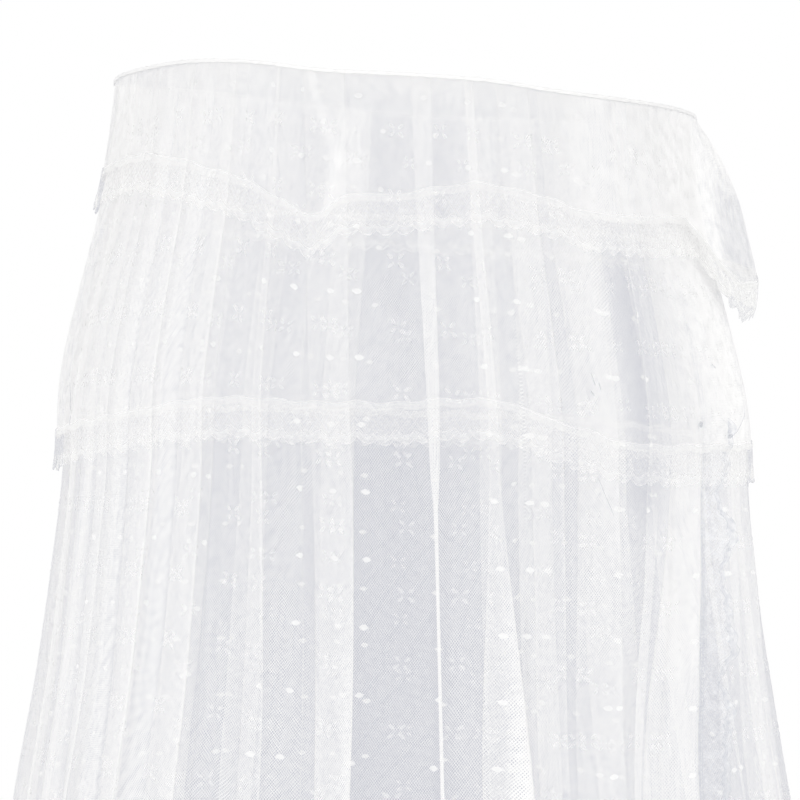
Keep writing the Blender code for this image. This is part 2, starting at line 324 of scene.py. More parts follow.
# ---- the rim and where the cloth hangs from it ----
@dataclass(frozen=True)
class Rim:
    """The round rim, tilted a little and lifted unevenly."""

    tilt: float = 0.020       # metres by which the rim is lower at the right
    lifts: Curve = Curve((    # millimetres
        (-90, -10), (-75, -7), (-60, -3), (-45, 2), (-30, 2), (-15, -3.5), (0, -3), (15, -2.5),
        (30, -6), (45, -6), (60, -5), (75, -5), (90, -5), (120, -2), (150, 1), (180, 0), (210, 2),
        (240, -2),
    ), closes=True)

    def height(self, angle: ndarray) -> ndarray:
        """Height of the rim at an angle."""
        return MM * self.lifts(angle) - self.tilt * np.sin(np.radians(angle))

    def at(self, radius: ndarray, angle: ndarray, drop: ndarray) -> ndarray:
        """Finds points of the cloth.

        Args:
            radius: distance from the middle, in metres.
            angle: degrees round the rim.
            drop: metres below the rim.

        Returns:
            The points, with x, y and z last.
        """
        turn = np.radians(angle)
        return joined(radius * np.sin(turn), -radius * np.cos(turn), self.height(angle) - drop)


RIM = Rim()


# ---- meshes from grids ----
def placed(name: str, mesh: Mesh, material: Material | None = None) -> Object:
    """Puts a mesh in the scene, smooth where it has a finish.

    Args:
        name: the piece's name.
        mesh: its mesh.
        material: its finish.

    Returns:
        The piece.
    """
    if material:
        mesh.polygons.foreach_set("use_smooth", np.ones(len(mesh.polygons), bool))
        if not mesh.materials:
            mesh.materials.append(material)
    mesh.update()
    piece = bpy.data.objects.new(name, mesh)
    bpy.context.scene.collection.objects.link(piece)
    return piece


def grid_piece(
    name: str, points: ndarray, flat: ndarray, gather: ndarray,
    material: Material, closes: bool,
) -> Object:
    """Makes a cloth from rows of points, top row first, each running round to the right.

    Args:
        name: the piece's name.
        points: rows by columns by 3, in the row frame.
        flat: rows by columns by 2, metres on the flat cut, with one column more than
            the points where the cloth closes on itself.
        gather: rows by columns, how close the threads lie.
        material: the piece's finish.
        closes: whether the last column meets the first.

    Returns:
        The piece.
    """
    rows, columns = points.shape[:2]
    faces_across = columns if closes else columns - 1
    r, c = np.meshgrid(np.arange(rows - 1), np.arange(faces_across), indexing="ij")
    r, c = r.ravel(), c.ravel()
    right = (c + 1) % columns
    top, low = r * columns, (r + 1) * columns
    quads = np.stack((top + c, low + c, low + right, top + right), 1)
    mesh = bpy.data.meshes.new(name)
    mesh.from_pydata(points.reshape(-1, 3).tolist(), [], quads.tolist())
    corners = np.stack((flat[r, c], flat[r + 1, c], flat[r + 1, c + 1], flat[r, c + 1]), 1)
    layer = mesh.uv_layers.new(name=UV_NAME)
    layer.data.foreach_set("uv", (corners / UV_SPAN).astype(np.float32).ravel())
    attribute = mesh.attributes.new(GATHER, "FLOAT", "POINT")
    attribute.data.foreach_set("value", gather.astype(np.float32).ravel())
    return placed(name, mesh, material)


def shape_piece(
    name: str, corners: Sequence[tuple[float, float, float]], faces: Sequence[Sequence[int]]
) -> Object:
    """Makes a small flat shape in millimetres, for the patterns to repeat.

    Args:
        name: the object's name.
        corners: its points, x across, y down the cloth, z out of it, in millimetres.
        faces: its faces as numbers of points.

    Returns:
        The object.
    """
    mesh = bpy.data.meshes.new(name)
    mesh.from_pydata([[MM * v for v in p] for p in corners], [], [list(f) for f in faces])
    return placed(name, mesh)


def arc_length(points: ndarray) -> ndarray:
    """Length along a row of points, from its first."""
    steps = np.linalg.norm(np.diff(points, axis=0), axis=1)
    return np.concatenate(([0.0], np.cumsum(steps)))


# ---- what repeats on a cloth ----
class Shapes:
    """Collects flat faces of one repeat, in millimetres."""

    def __init__(self) -> None:
        """Starts with nothing."""
        self.corners: list[tuple[float, float, float]] = []
        self.faces: list[list[int]] = []

    def fan(self, rim: Sequence[Point], crown: float, base: float = 0.0) -> None:
        """Adds a leaf or petal as a low dome.

        Args:
            rim: its outline.
            crown: how far its middle stands out.
            base: how far its outline stands out.
        """
        start = len(self.corners)
        middle = [sum(p[k] for p in rim) / len(rim) for k in (0, 1)]
        self.corners.append((middle[0], middle[1], crown))
        self.corners += [(x, y, base) for x, y in rim]
        count = len(rim)
        self.faces += [[start, start + 1 + i, start + 1 + (i + 1) % count] for i in range(count)]

    def lens(
        self, centre: Point, length: float, width: float, turn: float, crown: float = 0.08
    ) -> None:
        """Adds a leaf shape, pointed at both ends.

        Args:
            centre: its middle.
            length: from point to point.
            width: across its middle.
            turn: degrees from the cloth's width.
            crown: how far its middle stands out.
        """
        cos, sin = math.cos(math.radians(turn)), math.sin(math.radians(turn))
        half = [(0.5, 0), (0.22, 0.42), (-0.22, 0.42)]
        outline = half + [(-a, -b) for a, b in half]
        self.fan([
            (centre[0] + a * length * cos - b * width * sin,
             centre[1] + a * length * sin + b * width * cos) for a, b in outline
        ], crown)

    def band(self, middle: Sequence[Point], width: float, crown: float = 0.08) -> None:
        """Adds a narrow cord along a line, raised in its middle.

        Args:
            middle: the points of its centre line.
            width: across it.
            crown: how far its middle stands out.
        """
        line = np.array(middle, float)
        ahead = np.gradient(line, axis=0)
        ahead /= np.linalg.norm(ahead, axis=1)[:, None]
        side = np.stack((-ahead[:, 1], ahead[:, 0]), 1) * 0.5 * width
        start, count = len(self.corners), len(line)
        for offset, height in ((-1.0, 0.0), (0.0, crown), (1.0, 0.0)):
            self.corners += [(float(x), float(y), height) for x, y in line + offset * side]
        for lane in (0, 1):
            for i in range(count - 1):
                a, b = start + lane * count + i, start + (lane + 1) * count + i
                self.faces.append([a, a + 1, b + 1, b])

    def piece(self, name: str) -> Object:
        """Makes the object that the pattern repeats."""
        return shape_piece(name, self.corners, self.faces)


@dataclass(frozen=True)
class Repeat:
    """A shape laid in rows and columns on a flat cut, then carried onto the hung cloth."""

    columns: int
    rows: int
    column_pitch: float
    row_pitch: float
    first_column: float
    first_row: float
    turn_jitter: float = 0.0      # radians either way
    size_jitter: float = 0.0      # share either way
    stand_off: float = 0.0003
    seed: int = 1

    def tree(self, sizes: dict, material: Material) -> NodeTree:
        """Builds the Geometry Nodes tree.

        Args:
            sizes: this pattern's sizes and objects by name, which are the tree's inputs.
            material: the finish of the repeated shape.

        Returns:
            The tree.
        """
        tree = bpy.data.node_groups.new("repeat_on_cloth", "GeometryNodeTree")
        kinds = {int: "Int", float: "Float"}
        sockets = [("Geometry", "INPUT", "Geometry"), ("Geometry", "OUTPUT", "Geometry")]
        sockets[1:1] = [(k, "INPUT", kinds.get(type(v), "Object")) for k, v in sizes.items()]
        for label, way, kind in sockets:
            tree.interface.new_socket(label, in_out=way, socket_type="NodeSocket" + kind)
        add = partial(add_node, tree)
        given = add("NodeGroupInput").outputs
        number, columns = add("GeometryNodeInputIndex"), given["Columns"]
        column = add(MATH, {0: number, 1: columns}, operation="FLOORED_MODULO")
        row = add(MATH, {0: number, 1: columns}, operation="DIVIDE")
        row = add(MATH, {0: row}, operation="FLOOR")
        spot = add("ShaderNodeCombineXYZ")
        for axis, (label, count) in enumerate((("Column", column), ("Row", row))):
            sums = {0: count, 1: given[label + " Pitch"], 2: given["First " + label]}
            connect(spot, {axis: add(MATH, sums, operation="MULTIPLY_ADD")})
        total = add(MATH, {0: columns, 1: given["Rows"]}, operation="MULTIPLY")
        points = add("GeometryNodePoints", {"Count": total, "Position": spot})
        jitters = []
        for label, salt in (("Turn Jitter", 0), ("Size Jitter", 1)):
            seed = add(MATH, {0: given["Seed"], 1: salt}, operation="ADD")
            draw = {2: -1.0, 3: 1.0, "Seed": seed}
            draw = add("FunctionNodeRandomValue", draw, data_type="FLOAT")
            jitter = {0: draw.outputs[1], 1: given[label]}
            jitters.append(add(MATH, jitter, operation="MULTIPLY"))
        turn = add("ShaderNodeCombineXYZ", {2: jitters[0]})
        size = add(MATH, {0: jitters[1], 1: 1.0}, operation="ADD")
        shape, cloth = (
            add("GeometryNodeObjectInfo", {"Object": given[k]}).outputs["Geometry"]
            for k in ("Shape", "Cloth")
        )
        laid = {"Points": points, "Instance": shape, "Rotation": turn, "Scale": size}
        laid = add("GeometryNodeInstanceOnPoints", laid)
        place = add("GeometryNodeInputPosition")
        flat = add(VECTOR_MATH, {0: place, "Scale": 1.0 / UV_SPAN}, operation="SCALE")
        vectors = {"data_type": "FLOAT_VECTOR"}
        cut = add("GeometryNodeInputNamedAttribute", {0: UV_NAME}, **vectors)
        source = {"Mesh": cloth, "Source UV Map": cut, "Sample UV": flat}
        at, normal = (
            add("GeometryNodeSampleUVSurface", {**source, "Value": value}, **vectors).outputs
            for value in (place, add("GeometryNodeInputNormal"))
        )
        outside = add("FunctionNodeBooleanMath", {0: at["Is Valid"]}, operation="NOT")
        real = add("GeometryNodeRealizeInstances", {0: laid})
        made = add("GeometryNodeDeleteGeometry", {0: real, 1: outside}, domain="POINT")
        for name, value, kind, domain in (
            (UV_NAME, flat, "FLOAT2", "CORNER"), (GATHER, 1.0, "FLOAT", "POINT")
        ):
            stored = {"Geometry": made, "Name": name, "Value": value}
            made = add("GeometryNodeStoreNamedAttribute", stored, data_type=kind, domain=domain)
        height = add("ShaderNodeSeparateXYZ", {0: place}).outputs[2]
        lift = add(MATH, {0: height, 1: given["Stand Off"]}, operation="ADD")
        out = add(VECTOR_MATH, {0: normal["Value"], "Scale": lift}, operation="SCALE")
        hung = add(VECTOR_MATH, {0: at["Value"], 1: out}, operation="ADD")
        made = add("GeometryNodeSetPosition", {"Geometry": made, "Position": hung})
        made = add("GeometryNodeSetMaterial", {"Geometry": made, "Material": material})
        add("NodeGroupOutput", {0: made})
        return tree

    def lay(self, name: str, shape: Object, cloth: Object, material: Material) -> Object:
        """Makes the repeated shapes one plain mesh on a cloth.

        Args:
            name: the piece's name.
            shape: the flat shape, which is removed afterwards.
            cloth: the cloth that carries it.
            material: its finish.

        Returns:
            The piece.
        """
        carrier = placed(name + "_carrier", bpy.data.meshes.new(name + "_carrier"))
        sizes = {k.replace("_", " ").title(): v for k, v in vars(self).items()}
        sizes |= {"Shape": shape, "Cloth": cloth}
        tree = self.tree(sizes, material)
        modifier = carrier.modifiers.new("repeat", "NODES")
        modifier.node_group = tree
        for item in tree.interface.items_tree:
            if item.name in sizes:
                modifier[item.identifier] = sizes[item.name]
        bpy.context.view_layer.update()
        graph = bpy.context.evaluated_depsgraph_get()
        mesh = bpy.data.meshes.new_from_object(carrier.evaluated_get(graph))
        mesh.name = name
        for old in (carrier, shape):
            bpy.data.objects.remove(old)
        bpy.data.node_groups.remove(tree)
        piece = placed(name, mesh, material)
        # it is worked into the cloth, so it throws no shadow on it
        piece.visible_shadow = False
        return piece


# ---- how a cloth is held ----
class Held(Enum):
    HUNG = "hung"
    GATHERED = "gathered"
    STRETCHED = "stretched"


@dataclass
class Hanging:
    """Every cloth of the canopy with what is known of it; handing it over attaches its pieces and
    hides its solid.
    """

    piece: Object
    node: str
    slot: str
    held: Held
    flat: Point
    hangs_from: tuple[str, ...]
    area: float | None = None
    trims: list[Object] = field(default_factory=list)

    def hand_over(self) -> None:
        for piece in [self.piece, *self.trims]:
            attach(piece, BODY)
            LOG.info("%s: %d faces", piece.name, len(piece.data.polygons))
        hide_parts(self.node)


# ---- the two short tiers ----
class Ridge(NamedTuple):
    """A soft upright fold of a tier."""

    rim: float            # its angle at the rim
    hem: float            # and at the hem
    half_width: float     # degrees
    height: float         # millimetres at the hem


class Bunch(NamedTuple):
    """A place where a cloth's threads lie closer, or wider where the amount is negative."""

    top_angle: float
    low_angle: float
    top_drop: float
    low_drop: float
    half_width: float
    amount: float


def closer(places: Sequence[Bunch], angle: ndarray, drop: ndarray) -> ndarray:
    """Adds up what the bunches do to the closeness of the threads.

    Args:
        places: the bunches.
        angle: degrees round the rim.
        drop: metres below it.

    Returns:
        The sum, 0 where the net is plain.
    """
    total = np.zeros(np.broadcast(angle, drop).shape)
    for bunch in places:
        share = (drop - bunch.top_drop) / (bunch.low_drop - bunch.top_drop)
        middle = bunch.top_angle + (bunch.low_angle - bunch.top_angle) * share
        off = aside(angle, middle) / bunch.half_width
        fade = np.clip(6 * share, 0, 1) * np.clip(6 * (1 - share), 0, 1)
        total = total + bunch.amount * fade * np.exp(-off ** 4)
    return total


def standing_out(ridges: Sequence[Ridge], angle: ndarray, reach: ndarray) -> ndarray:
    """How far a tier's folds stand out, at an angle and at a share of the way to its hem."""
    total = np.zeros(np.broadcast(angle, reach).shape)
    for ridge in ridges:
        off = aside(angle, ridge.rim + (ridge.hem - ridge.rim) * reach)
        total = total + MM * ridge.height * reach * np.exp(-((off / ridge.half_width) ** 2))
    return total


@dataclass(frozen=True)
class TierShape:
    """The surface in which a tier hangs, down to the lower edge of its lace."""

    hem: Curve
    ridges: tuple[Ridge, ...]
    profile: Curve | None = None
    over: TierShape | None = None      # the tier that it lies on
    clearance: float = 0.0045
    belly: Curve | None = None
    belly_angle: float = 93.0
    belly_half_width: float = 18.0

    def hem_drop(self, angle: ndarray) -> ndarray:
        """Drop of the lace's lower edge."""
        return MM * self.hem(angle)

    def radius(self, angle: ndarray, drop: ndarray) -> ndarray:
        """Reads the radius at which the tier hangs.

        Args:
            angle: degrees round the rim.
            drop: metres below it.

        Returns:
            The radius in metres.
        """
        reach = np.minimum(drop / self.hem_drop(angle), 1.2)
        out = standing_out(self.ridges, angle, reach)
        if self.over is None:
            return self.profile(drop) + out
        off = aside(angle, self.belly_angle) / self.belly_half_width
        full = self.belly(drop) * np.exp(-(off ** 2))
        return self.over.radius(angle, drop) + self.clearance + out + full


def bunches(*rows: tuple[float, ...]) -> tuple[Bunch, ...]:
    """Makes a table of bunches from its rows."""
    return tuple(Bunch(*row) for row in rows)


# where the tiers' net is bunched or stretched
LOWER_BUNCHES = bunches(
    (-92, -92, -0.1, 0.5, 28, 3.8), (92, 90, -0.1, 0.5, 24, 5), (64, 64, -0.1, 0.5, 13, 5.2),
    (45, 41, 0.11, 0.4, 4.2, -0.95), (34.5, 34, 0.1, 0.42, 3, 0.5),
    (-12.5, -12.5, 0.14, 0.36, 3.5, -0.4), (-21, -21, 0.13, 0.4, 4.5, -0.6),
    (10, 9, 0.25, 0.42, 2.5, -0.5), (131.5, 131.5, 0.1, 0.4, 7, -0.7),
    (-92, -92, -0.1, 0.5, 12, 1.8),
)
UPPER_BUNCHES = bunches(
    (-92, -92, -0.1, 0.25, 28, 4.4), (-48, -48, -0.1, 0.25, 24, 1.7), (96, 94, -0.1, 0.06, 18, 4),
    (90, 90, 0.02, 0.26, 21, 3), (84, 84, -0.1, 0.085, 14, 3), (75, 69, 0.03, 0.18, 3.6, 2.2),
    (66, 60, -0.05, 0.26, 10.5, 5.6), (72.5, 72.5, 0.05, 0.24, 1.2, 3),
    (42, 42, -0.1, 0.25, 12, 3.6), (-19.2, -11.7, -0.015, 0.09, 0.8, 2.4),
    (-11.4, -14.8, 0.06, 0.19, 0.9, 3), (-9.6, -10.4, 0.02, 0.19, 3, 1.9),
    (-17.4, -15.4, 0.035, 0.145, 2, -0.95), (8, 7, 0.03, 0.15, 3, -0.5),
    (29, 30.5, 0.02, 0.16, 1.8, -0.95), (22, 24, 0.02, 0.16, 4, -0.6),
    (-35, -34, 0.05, 0.19, 6, -0.4), (7.5, 6, 0.09, 0.17, 1.2, -0.9),
    (-92, -92, -0.1, 0.25, 10, 1.5),
)


class Mark(NamedTuple):
    """A faded speck or a caught thread, drawn through points of a tier."""

    path: tuple[Point, ...]      # angle and drop of each point
    width_mm: float


LOWER_MARKS = (
    Mark(((-78.6, 0.373), (-78.0, 0.380)), 6.0), Mark(((52.0, 0.306), (53.2, 0.308)), 6.0),
    Mark(((-78.5, 0.375), (-78.1, 0.379)), 4.6), Mark(((52.2, 0.3065), (53.0, 0.3075)), 4.6),
    Mark(((-68.4, 0.300), (-67.4, 0.315), (-66.8, 0.330)), 3.2),
    Mark(((-66.6, 0.333), (-67.4, 0.343)), 2.4),
    Mark(((73.5, 0.285), (73.0, 0.296), (69.0, 0.308), (64.5, 0.317)), 2.0),
    Mark(((64.8, 0.316), (62.6, 0.318)), 4.0),
    Mark(((30.0, 0.264), (30.5, 0.276)), 1.4), Mark(((31.2, 0.272), (31.5, 0.280)), 1.2),
    Mark(((29.6, 0.281), (30.2, 0.285)), 1.8), Mark(((60.6, 0.248), (61.8, 0.252)), 2.0),
    Mark(((30.2, 0.359), (31.5, 0.377), (33.0, 0.395)), 1.1),
)
UPPER_LACE_BUNCHES = bunches(
    # painted shadow: near 7 degrees the lace's net is thinned so that it shows darker, standing in
    # for a fold's shadow
    (90, 90, 0.08, 0.3, 26, 6), (7.2, 6.4, 0.09, 0.165, 1.5, -0.8),
    (-26, -26, 0.08, 0.2, 9, -0.45),
)


def rim_closeness(angle: ndarray, drop: ndarray | float) -> ndarray:
    """How much closer the net lies where it is gathered into the rim, most in front."""
    below = Curve(((0.0, 0.90), (0.012, 0.65), (0.030, 0.28), (0.060, 0.0)))
    return below(drop) * np.clip(np.cos(np.radians(angle)), 0, 1)


LOWER_SHAPE = TierShape(
    hem=Curve((
        (-90, 385), (-50, 372), (-35, 358), (-26, 351), (0, 343), (13, 337), (26, 354), (37, 366),
        (57, 365), (90, 360), (120, 357), (150, 352), (180, 356), (210, 362), (240, 370),
    ), closes=True),
    ridges=(
        Ridge(-64, -66, 7, 4), Ridge(-30, -31, 7, 3), Ridge(28, 33, 7, 5), Ridge(51, 50, 7, 6),
        Ridge(112, 114, 8, 5), Ridge(160, 158, 9, 6), Ridge(205, 208, 8, 5), Ridge(246, 244, 7, 4),
    ),
    profile=Curve((
        (0, 0.2845), (0.065, 0.2925), (0.13, 0.3045), (0.205, 0.3235), (0.265, 0.338),
        (0.31, 0.3445), (0.4, 0.347),
    )),
)
UPPER_SHAPE = TierShape(
    hem=Curve((
        (-90, 128), (-70, 126), (-52, 126), (-29, 151), (-22, 164), (-15, 173), (-10, 154),
        (0, 152), (5, 144), (13, 136), (24, 141), (31, 150), (45, 150), (60, 148), (66, 161),
        (71, 181), (76, 198), (82, 204), (88, 200), (95, 190), (104, 178), (120, 158), (150, 150),
        (180, 146), (210, 150), (240, 143),
    ), closes=True),
    ridges=(
        Ridge(-21, -15, 6, 10), Ridge(-58, -60, 7, 4), Ridge(22, 26, 7, 4), Ridge(56, 54, 6, 5),
        Ridge(135, 138, 8, 6), Ridge(182, 180, 8, 5), Ridge(226, 229, 8, 6),
    ),
    over=LOWER_SHAPE,
    belly=Curve((
        (0, 0), (0.03, 0.019), (0.06, 0.0305), (0.085, 0.0365), (0.12, 0.0385), (0.147, 0.0385),
        (0.165, 0.0355), (0.185, 0.028), (0.205, 0.015), (0.22, 0.006),
    )),
)


@dataclass(frozen=True)
class LacePattern:
    """One repeat of the trim: a sewn heading, open flowers and a corded scallop."""

    depth: float = 0.040
    scallop_width: float = 0.018
    scallop_depth: float = 0.005

    @property
    def half(self) -> float:
        """Half the width of a scallop in millimetres."""
        return 500 * self.scallop_width

    def edge(self, along: ndarray) -> ndarray:
        """Depth of the scalloped edge at a length along the trim."""
        phase = np.asarray(along) / self.scallop_width % 1.0
        return self.depth - self.scallop_depth * (1.0 - np.abs(np.sin(math.pi * phase)))

    def edge_points(self, inset: float) -> list[Point]:
        """Points along the scalloped edge of one repeat, an inset in millimetres above it."""
        across = np.linspace(-self.half, self.half, 11)
        return [(float(x), self.low(x) - inset) for x in across]

    def low(self, across: float) -> float:
        """Depth of the scalloped edge of one repeat, all in millimetres."""
        return 1000 * float(self.edge(MM * (across + self.half)))

    def close_bands(self) -> Shapes:
        """Draws the closely worked heading and border of one repeat."""
        shapes = Shapes()
        shapes.band([(x, 4.2) for x in (-self.half, 0.0, self.half)], 7.6)
        shapes.band(self.edge_points(4.6), 8.2, 0.25)
        return shapes

    def cords(self) -> Shapes:
        """Draws the cords along the heading and the scallop, with small picots."""
        shapes = Shapes()
        for inset, width in ((0.7, 1.1), (8.4, 0.6)):
            shapes.band(self.edge_points(inset), width, 0.3)
        for share in (-0.6, -0.2, 0.2, 0.6):
            shapes.lens((share * self.half, self.low(share * self.half) + 0.1), 1.6, 1.2, 90)
        shapes.band([(x, 0.6) for x in (-self.half, 0.0, self.half)], 0.6)
        return shapes

    def flowers(self) -> Shapes:
        """Draws the openwork between: a lattice of diamonds with a flower in each."""
        shapes, middle = Shapes(), 19.0
        for side in (-1, 1):
            far = side * self.half
            for low in (8.0, 30.0):
                shapes.band([(far, middle), (0.5 * far, 0.5 * (middle + low)), (0, low)], 1.5)
            for y, turn in ((11.5, -40), (26.5, 40)):
                shapes.lens((side * (self.half - 1.5), y), 4.4, 2.4, side * turn)
        for turn in range(0, 360, 90):
            way = math.radians(turn)
            centre = (2.6 * math.cos(way), middle + 3.4 * math.sin(way))
            shapes.lens(centre, 4.6, 2.8, turn)
        return shapes


LACE = LacePattern()


@dataclass
class Trim:
    """Lace sewn along an edge: its ground, its flowers, its cords and its stitches."""

    name: str              # of the trim and of its node
    length: float
    hangs_from: tuple[str, ...]
    columns_per_scallop: int = 8
    seed: int = 1
    cord: YarnFinish = LACE_CORD
    net: NetFinish = LACE_GROUND
    close: NetFinish = LACE_CLOSE
    stitch_pitch: float = 0.0042

    @property
    def scallops(self) -> int:
        """Number of scallops along the trim."""
        return round(self.length / LACE.scallop_width)

    def dress(
        self, points: ndarray, along: ndarray, depth: ndarray, gather: ndarray, closes: bool
    ) -> Hanging:
        """Makes the trim's pieces.

        Args:
            points: the ground's points, rows by columns by 3.
            along: length along the trim at each of them.
            depth: depth across the trim.
            gather: how close its threads lie.
            closes: whether it runs all round.

        Returns:
            The trim, ready to hand over.
        """
        flat, net = joined(along, depth), self.net.material()
        ground = grid_piece(self.name + "_ground", points, flat, gather, net, closes)
        # a hair under the true pitch keeps the last repeat on the flat cut
        pitch = 0.9998 * self.length / self.scallops
        row = Repeat(self.scallops, 1, pitch, 1.0, 0.5 * pitch + 0.0002, 0.0, seed=self.seed)
        count = int(self.length / self.stitch_pitch)
        seam = Repeat(
            count, 2, self.length / count, 0.0033, 0.002, 0.0028, turn_jitter=0.12,
            size_jitter=0.1, stand_off=0.0007, seed=self.seed + 5,
        )
        stitch = Shapes()
        stitch.band([(-1.3, 0.0), (-0.6, 0.05), (0.6, 0.05), (1.3, 0.0)], 0.5, 0.35)
        parts = [
            repeat.lay(self.name + part, shapes.piece("shape"), ground, finish.material())
            for part, repeat, shapes, finish in (
                ("_flowers", row, LACE.flowers(), LACE_YARN),
                ("_cords", row, LACE.cords(), self.cord),
                ("_close", row, LACE.close_bands(), self.close),
                ("_stitches", seam, stitch, SEWING_THREAD),
            )
        ]
        size = (self.length, LACE.depth)
        return Hanging(ground, self.name, "lace", Held.HUNG, size, self.hangs_from, trims=parts)


@dataclass
class Tier:
    """A short net tier with its lace."""

    name: str
    shape: TierShape
    seed: int
    rows: int
    bunched: tuple[Bunch, ...] = ()
    lace_bunched: tuple[Bunch, ...] = ()
    marks: tuple[Mark, ...] = ()
    columns: int = 720
    lace_lap: float = 0.007        # the cloth runs on behind the lace
    flutter: float = 0.0009
    mark_stand_off: float = 0.0030
    unevenness: float = 0.0012     # of the hem and of the flat cut

    def surface(self, angle: ndarray, drop: ndarray, out: float = 0.0) -> ndarray:
        """Points of the tier with its fine unevenness, a little further out where asked."""
        reach = np.clip(drop / 0.12, 0, 1)
        fine = self.flutter * reach * Ripple(self.seed, 9, 34)(angle, drop)
        return RIM.at(self.shape.radius(angle, drop) + fine + out, angle, drop)

    def seam(self, angle: ndarray) -> ndarray:
        """Drop of the seam between net and lace, with its small up and down."""
        wave = self.unevenness * Ripple(self.seed + 2, 12, 60)(angle, 0.0)
        return self.shape.hem_drop(angle) - LACE.depth + wave

    def build(self) -> list[Hanging]:
        """Makes the tier and its lace.

        Returns:
            Both, ready to hand over.
        """
        angle = np.linspace(-180, 180, self.columns, endpoint=False)[None, :]
        share = np.linspace(0, 1, self.rows + 1)[:, None]
        seam = self.seam(angle)
        drop = (seam + self.lace_lap) * share
        points = self.surface(angle, drop)
        around = arc_length(np.concatenate((points[-1], points[-1, :1])))
        drops = np.concatenate((drop, drop[:, :1]), 1)
        turns = np.concatenate((angle, angle[:, :1] + 360), 1)
        across, down = (
            at + self.unevenness * Ripple(self.seed + salt, 10, 30)(turns, drops)
            for at, salt in ((around, 7), (drops, 8))
        )
        # a fine and a coarse unevenness of the threads
        gather = 1.0 + 0.07 * Ripple(self.seed + 3, 30, 150, 30, 3.0)(angle, drop)
        gather = gather + 0.12 * Ripple(self.seed + 4, 8, 30, 24, 24.0)(angle, drop)
        gather = gather + closer(self.bunched, angle, drop) + rim_closeness(angle, drop)
        gather = np.clip(gather, 0.15, 9.0)
        flat, finish = joined(across, down), PLAIN_NET.material()
        cloth = grid_piece(self.name + "_net", points, flat, gather, finish, closes=True)
        size = (float(around[-1]), float(np.mean(seam)) + self.lace_lap)
        hanging = Hanging(cloth, self.name, "net", Held.GATHERED, size, ("roof",))
        if self.marks:
            hanging.trims.append(self.marked())
        return [hanging, self.build_lace(float(around[-1]))]

    def marked(self) -> Object:
        """Makes the specks and caught threads on the outside of the tier."""
        corners: list[ndarray] = []
        faces: list[list[int]] = []
        share = np.linspace(0, 1, 9)
        taper = np.sqrt(np.clip(1 - (2 * share - 1) ** 4, 0.02, 1))[:, None]
        for mark in self.marks:
            path = np.array(mark.path, float)
            stations = np.linspace(0, 1, len(path))
            angle, drop = (np.interp(share, stations, path[:, k]) for k in (0, 1))
            line = self.surface(angle, drop, self.mark_stand_off)
            turn = np.radians(angle)
            outward = joined(np.sin(turn), -np.cos(turn), 0 * turn)
            side = np.cross(np.gradient(line, axis=0), outward)
            side /= np.linalg.norm(side, axis=1)[:, None]
            half = 0.5 * MM * mark.width_mm * taper
            start = len(corners)
            corners += [*(line - side * half), *(line + side * half)]
            faces += [[start + i + k for k in (0, 1, 10, 9)] for i in range(8)]
        mesh = bpy.data.meshes.new(self.name + "_marks")
        mesh.from_pydata([c.tolist() for c in corners], [], faces)
        return placed(mesh.name, mesh, FADED_MARK.material())

    def build_lace(self, length: float) -> Hanging:
        """Makes the lace below the tier.

        Args:
            length: of the hem that it is sewn to.

        Returns:
            The lace, ready to hand over.
        """
        trim = Trim(self.name.replace("tier", "lace"), length, (self.name,), seed=self.seed)
        columns = trim.scallops * trim.columns_per_scallop
        angle = np.linspace(-180, 180, columns, endpoint=False)[None, :]
        along = np.linspace(0, length, columns + 1)
        share = np.linspace(0, 1, 9)[:, None]
        depth = share * LACE.edge(along * LACE.scallop_width / (length / trim.scallops))[None, :]
        low = self.seam(angle) + depth[:, :-1]
        out = 0.0009 + 0.0016 * (share ** 2) * Ripple(self.seed + 6, 40, 110)(angle, 0.0)
        gather = 1.0 + 0.2 * Ripple(self.seed + 9, 30, 200, 24, 60.0)(angle, depth[:, :-1])
        gather = np.clip(gather + 0.25 * closer(self.bunched, angle, low), 0.3, 3.0)
        gather = gather + closer(self.lace_bunched, angle, low)
        return trim.dress(self.surface(angle, low, out), along[None, :], depth, gather, True)


